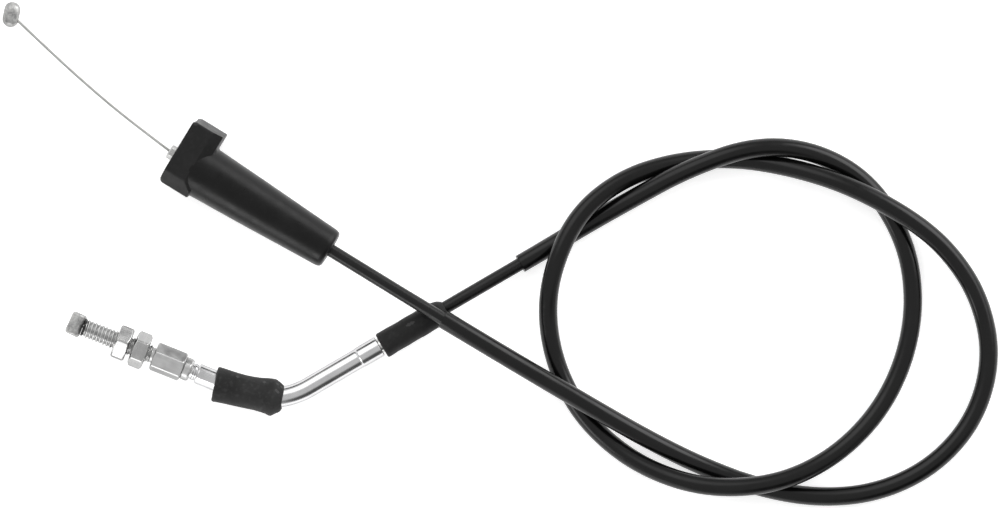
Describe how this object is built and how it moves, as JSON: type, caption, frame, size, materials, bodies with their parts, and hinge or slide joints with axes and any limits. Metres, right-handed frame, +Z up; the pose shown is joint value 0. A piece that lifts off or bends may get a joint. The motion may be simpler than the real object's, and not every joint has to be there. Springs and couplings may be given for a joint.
{
  "type": "throttle cable",
  "caption": "Motorcycle throttle cable lying in loops, with a rubber boot, a bent guide tube, a threaded swivel adjuster with lock nuts, and a barrel nipple at each end.",
  "frame": {"origin": "bottom centre of the box around the end fittings, on the surface that the cable lies on, without the free casing", "axes": "+Z up from that surface; +X from the nipples towards the loops of the casing; +Y towards the throttle nipple's side"},
  "size_m": [0.3385, 0.1713, 0.0212],
  "materials": {
    "nipple_zinc": "die-cast zinc alloy, mottled, satin",
    "wire_steel": "bright stranded steel",
    "cap_zinc": "zinc-plated, crimped",
    "boot_rubber": "moulded, matte black",
    "casing_black": "extruded, smooth satin black",
    "armour_steel": "wound flat wire",
    "liner_nylon": "natural nylon",
    "sleeve_black": "soft vinyl tube, satin black",
    "seal_rubber": "moulded, matte black",
    "tube_chrome": "bright plated steel tube",
    "guard_rubber": "moulded, satin black",
    "adjuster_zinc": "bright zinc plate",
    "nut_zinc": "bright zinc plate"
  },
  "bodies": {
    "cable": {"casing_jacket": "casing_black", "casing_armour": "armour_steel", "casing_liner": "liner_nylon", "core_wire": "wire_steel", "outer_sleeve": "sleeve_black", "elbow_seal_sleeve": "seal_rubber", "elbow_end_cap": "cap_zinc", "elbow_tube": "tube_chrome", "elbow_liner": "liner_nylon", "elbow_guard_sleeve": "guard_rubber", "throttle_end_cap": "cap_zinc"},
    "throttle_wire_end": {"throttle_nipple": "nipple_zinc", "throttle_wire": "wire_steel"},
    "boot": {"throttle_boot": "boot_rubber"},
    "adjuster": {"adjuster_screw": "adjuster_zinc", "swivel_collar": "adjuster_zinc", "stem_seal": "seal_rubber"},
    "outer_nut": {"lock_nut_outer": "nut_zinc"},
    "inner_nut": {"lock_nut_inner": "nut_zinc"},
    "carb_wire_end": {"carb_wire": "wire_steel", "carb_nipple": "nipple_zinc"}
  },
  "joints": [
    {"name": "throttle_pull", "type": "slide", "parent": "cable", "child": "throttle_wire_end", "axis": [0.7541, -0.6491, 0.0996], "range_m": [0, 0.03], "deforming": ["throttle_wire"]},
    {"name": "carb_pull", "type": "slide", "parent": "cable", "child": "carb_wire_end", "axis": [-0.9272, 0.3746, 0], "range_m": [0, 0.03]},
    {"name": "boot_slide", "type": "slide", "parent": "cable", "child": "boot", "axis": [0.8513, -0.5234, 0.0378], "range_m": [0, 0.025]},
    {"name": "adjuster_swivel", "type": "hinge", "parent": "cable", "child": "adjuster", "pos_m": [-0.01547, -0.05363, 0.00645], "axis": [0.9272, -0.3746, 0], "continuous": true},
    {"name": "outer_nut_travel", "type": "slide", "parent": "adjuster", "child": "outer_nut", "axis": [0.9272, -0.3746, 0], "range_m": [-0.01, 0.0012]},
    {"name": "inner_nut_travel", "type": "slide", "parent": "adjuster", "child": "inner_nut", "axis": [0.9272, -0.3746, 0], "range_m": [-0.0002, 0.0022]}
  ],
  "couplings": [
    {"joint": "carb_pull", "follows": "throttle_pull", "ratio": 1}
  ]
}
